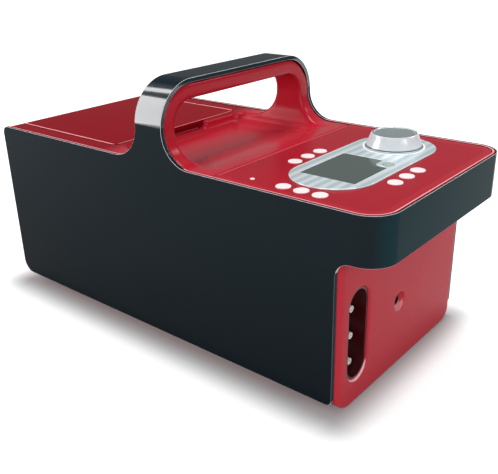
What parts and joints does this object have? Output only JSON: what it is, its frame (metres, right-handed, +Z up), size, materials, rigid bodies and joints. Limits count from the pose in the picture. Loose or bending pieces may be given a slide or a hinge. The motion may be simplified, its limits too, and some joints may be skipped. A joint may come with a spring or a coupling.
{
  "type": "hot cold therapy machine",
  "caption": "Portable hot and cold therapy machine with an arched carry handle, hinged ice box lid, display, turning knob, keys and a hose pocket at the front.",
  "frame": {"origin": "middle of the machine's outline, on the surface the feet stand on", "axes": "+X along the length towards the control end with the hose pocket, +Y across towards the knob's side, +Z up"},
  "size_m": [0.413, 0.197, 0.2265],
  "materials": {
    "skin": "gloss, blue-black",
    "red": "gloss, wine red",
    "film": "satin film",
    "bezel": "silver, fine diagonal stripes",
    "window": "clear, smoky",
    "display": "dark grey-green",
    "clear": "clear",
    "key": "pale",
    "grey_key": "grey",
    "knob": "silver side, grey face",
    "metal": "polished",
    "steel": "plain",
    "dark_red": "gloss, dark",
    "rubber": "matt",
    "black": "matt",
    "white": "smooth, food grade",
    "foam": "fine-celled foam",
    "tube": "milky silicone",
    "board": "green, lacquered",
    "gold": "plated"
  },
  "bodies": {
    "housing": {"outer_skin": "skin", "top_cover": "red", "control_deck": "red", "tub": "red", "front_cover": "red", "ice_box": "white", "foam_jacket": "foam", "filter_screen": "black", "overlay": "film", "display_bezel": "bezel", "display_window": "window", "display_module": "display", "knob_ring": "clear", "lamp_lens": "key", "key_mat": "rubber", "key_board": "board", "encoder": "steel", "main_board": "board", "board_parts": "black", "water_pump": "black", "air_pump": "black", "air_valve": "white", "suction_tube": "tube", "supply_tube": "tube", "return_tube": "tube", "air_tube": "tube", "hose_pocket": "dark_red", "hose_nozzles": "metal", "nozzle_seals": "rubber", "power_socket": "black", "socket_pin": "gold", "feet": "rubber", "housing_screws": "steel", "board_screws": "steel", "shelf_screws": "steel", "hinge_pins": "steel"},
    "ice_lid": {"lid": "red", "lid_foam": "foam", "lid_liner": "white", "lid_gasket": "rubber"},
    "turn_knob": {"knob": "knob", "knob_shaft": "steel"},
    "key_1_cap": {"key_1": "key"},
    "key_2_cap": {"key_2": "key"},
    "key_3_cap": {"key_3": "key"},
    "key_4_cap": {"key_4": "key"},
    "key_5_cap": {"key_5": "key"},
    "key_6_cap": {"key_6": "key"},
    "key_7_cap": {"key_7": "key"},
    "key_8_cap": {"key_8": "key"},
    "key_9_cap": {"key_9": "key"},
    "start_key_cap": {"start_key": "grey_key"}
  },
  "joints": [
    {"name": "lid_hinge", "type": "hinge", "parent": "housing", "child": "ice_lid", "pos_m": [-0.2015, 0, 0.1569], "axis": [0, -1, 0], "range_deg": [0, 95]},
    {"name": "knob_turn", "type": "hinge", "parent": "housing", "child": "turn_knob", "pos_m": [0.1325, 0.049, 0.1653], "axis": [0, 0, 1], "continuous": true},
    {"name": "key_1_press", "type": "slide", "parent": "housing", "child": "key_1_cap", "axis": [0, 0, -1], "range_m": [0, 0.0006], "stiffness_N_per_m": 2500, "springref_m": -0.0002},
    {"name": "key_2_press", "type": "slide", "parent": "housing", "child": "key_2_cap", "axis": [0, 0, -1], "range_m": [0, 0.0006], "stiffness_N_per_m": 2500, "springref_m": -0.0002},
    {"name": "key_3_press", "type": "slide", "parent": "housing", "child": "key_3_cap", "axis": [0, 0, -1], "range_m": [0, 0.0006], "stiffness_N_per_m": 2500, "springref_m": -0.0002},
    {"name": "key_4_press", "type": "slide", "parent": "housing", "child": "key_4_cap", "axis": [0, 0, -1], "range_m": [0, 0.0006], "stiffness_N_per_m": 2500, "springref_m": -0.0002},
    {"name": "key_5_press", "type": "slide", "parent": "housing", "child": "key_5_cap", "axis": [0, 0, -1], "range_m": [0, 0.0006], "stiffness_N_per_m": 2500, "springref_m": -0.0002},
    {"name": "key_6_press", "type": "slide", "parent": "housing", "child": "key_6_cap", "axis": [0, 0, -1], "range_m": [0, 0.0006], "stiffness_N_per_m": 2500, "springref_m": -0.0002},
    {"name": "key_7_press", "type": "slide", "parent": "housing", "child": "key_7_cap", "axis": [0, 0, -1], "range_m": [0, 0.0006], "stiffness_N_per_m": 2500, "springref_m": -0.0002},
    {"name": "key_8_press", "type": "slide", "parent": "housing", "child": "key_8_cap", "axis": [0, 0, -1], "range_m": [0, 0.0006], "stiffness_N_per_m": 2500, "springref_m": -0.0002},
    {"name": "key_9_press", "type": "slide", "parent": "housing", "child": "key_9_cap", "axis": [0, 0, -1], "range_m": [0, 0.0006], "stiffness_N_per_m": 2500, "springref_m": -0.0002},
    {"name": "start_key_press", "type": "slide", "parent": "housing", "child": "start_key_cap", "axis": [0, 0, -1], "range_m": [0, 0.0006], "stiffness_N_per_m": 2500, "springref_m": -0.0002}
  ]
}
